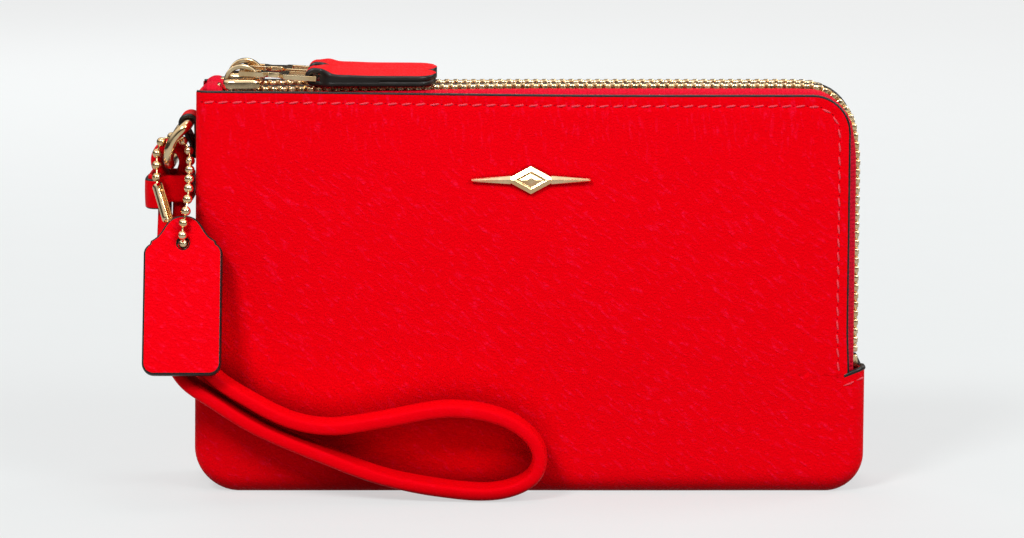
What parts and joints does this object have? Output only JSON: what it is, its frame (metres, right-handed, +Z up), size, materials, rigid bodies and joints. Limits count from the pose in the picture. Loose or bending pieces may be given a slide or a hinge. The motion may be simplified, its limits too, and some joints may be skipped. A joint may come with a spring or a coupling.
{
  "type": "wristlet wallet",
  "caption": "Flat leather wristlet wallet with two zipped compartments, a wrist strap on a ring at one end and a hang tag on a ball chain.",
  "frame": {"origin": "middle of the base the wallet stands on", "axes": "+X along the wallet from the ring end to the other, +Y from front to back, +Z up"},
  "size_m": [0.1764, 0.0466, 0.1054],
  "materials": {
    "red_leather": "pebbled, semi-matt, with painted dark cut edges",
    "zip_tape": "woven",
    "lining": "woven",
    "pale_gold": "polished pale gold plate"
  },
  "bodies": {
    "wallet": {"back_divider_lining": "lining", "back_lining": "lining", "back_panel": "red_leather", "back_zip_bottom_stop": "pale_gold", "back_zip_inner_tape": "zip_tape", "back_zip_inner_teeth": "pale_gold", "back_zip_inner_top_stop": "pale_gold", "back_zip_outer_top_stop": "pale_gold", "divider_panel": "red_leather", "front_divider_lining": "lining", "front_lining": "lining", "front_panel": "red_leather", "front_zip_bottom_stop": "pale_gold", "front_zip_inner_tape": "zip_tape", "front_zip_inner_teeth": "pale_gold", "front_zip_inner_top_stop": "pale_gold", "front_zip_outer_top_stop": "pale_gold", "lower_card_pocket": "lining", "ring_tab": "red_leather", "side_gusset": "red_leather", "upper_card_pocket": "lining"},
    "front_flap": {"front_panel_flap": "red_leather", "front_lining_flap": "lining", "front_zip_outer_tape": "zip_tape", "front_zip_outer_teeth": "pale_gold", "badge": "pale_gold", "badge_backing_plate": "pale_gold"},
    "back_flap": {"back_panel_flap": "red_leather", "back_lining_flap": "lining", "back_zip_outer_tape": "zip_tape", "back_zip_outer_teeth": "pale_gold"},
    "front_slider": {"front_zip_slider": "pale_gold"},
    "back_slider": {"back_zip_slider": "pale_gold"},
    "front_pull": {"front_pull_link": "pale_gold"},
    "back_pull": {"back_pull_link": "pale_gold"},
    "front_tab": {"front_pull_tab": "red_leather"},
    "back_tab": {"back_pull_tab": "red_leather"},
    "ring": {"d_ring": "pale_gold"},
    "strap": {"wrist_strap": "red_leather", "strap_keeper": "red_leather"},
    "chain": {"ball_chain": "pale_gold", "chain_connector": "pale_gold"},
    "tag": {"hang_tag": "red_leather"}
  },
  "joints": [
    {"name": "front_mouth_open", "type": "hinge", "parent": "wallet", "child": "front_flap", "pos_m": [-0.072, -0.016, 0.0988], "axis": [0.9126, 0, -0.4089], "range_deg": [0, 25], "deforming": ["front_zip_outer_tape", "front_zip_outer_teeth"]},
    {"name": "back_mouth_open", "type": "hinge", "parent": "wallet", "child": "back_flap", "pos_m": [-0.072, 0.016, 0.0988], "axis": [-0.9126, 0, 0.4089], "range_deg": [0, 25], "deforming": ["back_zip_outer_tape", "back_zip_outer_teeth"]},
    {"name": "front_zip_slide", "type": "slide", "parent": "wallet", "child": "front_slider", "axis": [1, 0, 0], "range_m": [0, 0.125], "deforming": ["front_zip_inner_tape", "front_zip_inner_teeth"]},
    {"name": "front_pull_swing", "type": "hinge", "parent": "front_slider", "child": "front_pull", "pos_m": [-0.0702, -0.0068, 0.1033], "axis": [0, -1, 0], "range_deg": [0, 135]},
    {"name": "front_tab_swing", "type": "hinge", "parent": "front_pull", "child": "front_tab", "pos_m": [-0.0524, -0.0068, 0.1033], "axis": [0, -1, 0], "range_deg": [0, 45]},
    {"name": "back_zip_slide", "type": "slide", "parent": "wallet", "child": "back_slider", "axis": [1, 0, 0], "range_m": [0, 0.125], "deforming": ["back_zip_inner_tape", "back_zip_inner_teeth"]},
    {"name": "back_pull_swing", "type": "hinge", "parent": "back_slider", "child": "back_pull", "pos_m": [-0.0702, 0.0068, 0.1033], "axis": [0, -1, 0], "range_deg": [0, 135]},
    {"name": "back_tab_swing", "type": "hinge", "parent": "back_pull", "child": "back_tab", "pos_m": [-0.0524, 0.0068, 0.1033], "axis": [0, -1, 0], "range_deg": [0, 45]},
    {"name": "ring_swing", "type": "hinge", "parent": "wallet", "child": "ring", "pos_m": [-0.0836, 0, 0.0904], "axis": [0, -1, 0], "range_deg": [-90, 0]},
    {"name": "strap_swing", "type": "hinge", "parent": "ring", "child": "strap", "pos_m": [-0.0883, 0, 0.0802], "axis": [0, -1, 0], "range_deg": [-105, 0]},
    {"name": "chain_swing", "type": "hinge", "parent": "ring", "child": "chain", "pos_m": [-0.0883, 0, 0.0802], "axis": [0, -1, 0], "range_deg": [-25, 0]},
    {"name": "tag_swing", "type": "hinge", "parent": "chain", "child": "tag", "pos_m": [-0.084, -0.0186, 0.0626], "axis": [0, -0.9397, 0.342], "range_deg": [-30, 30]}
  ]
}
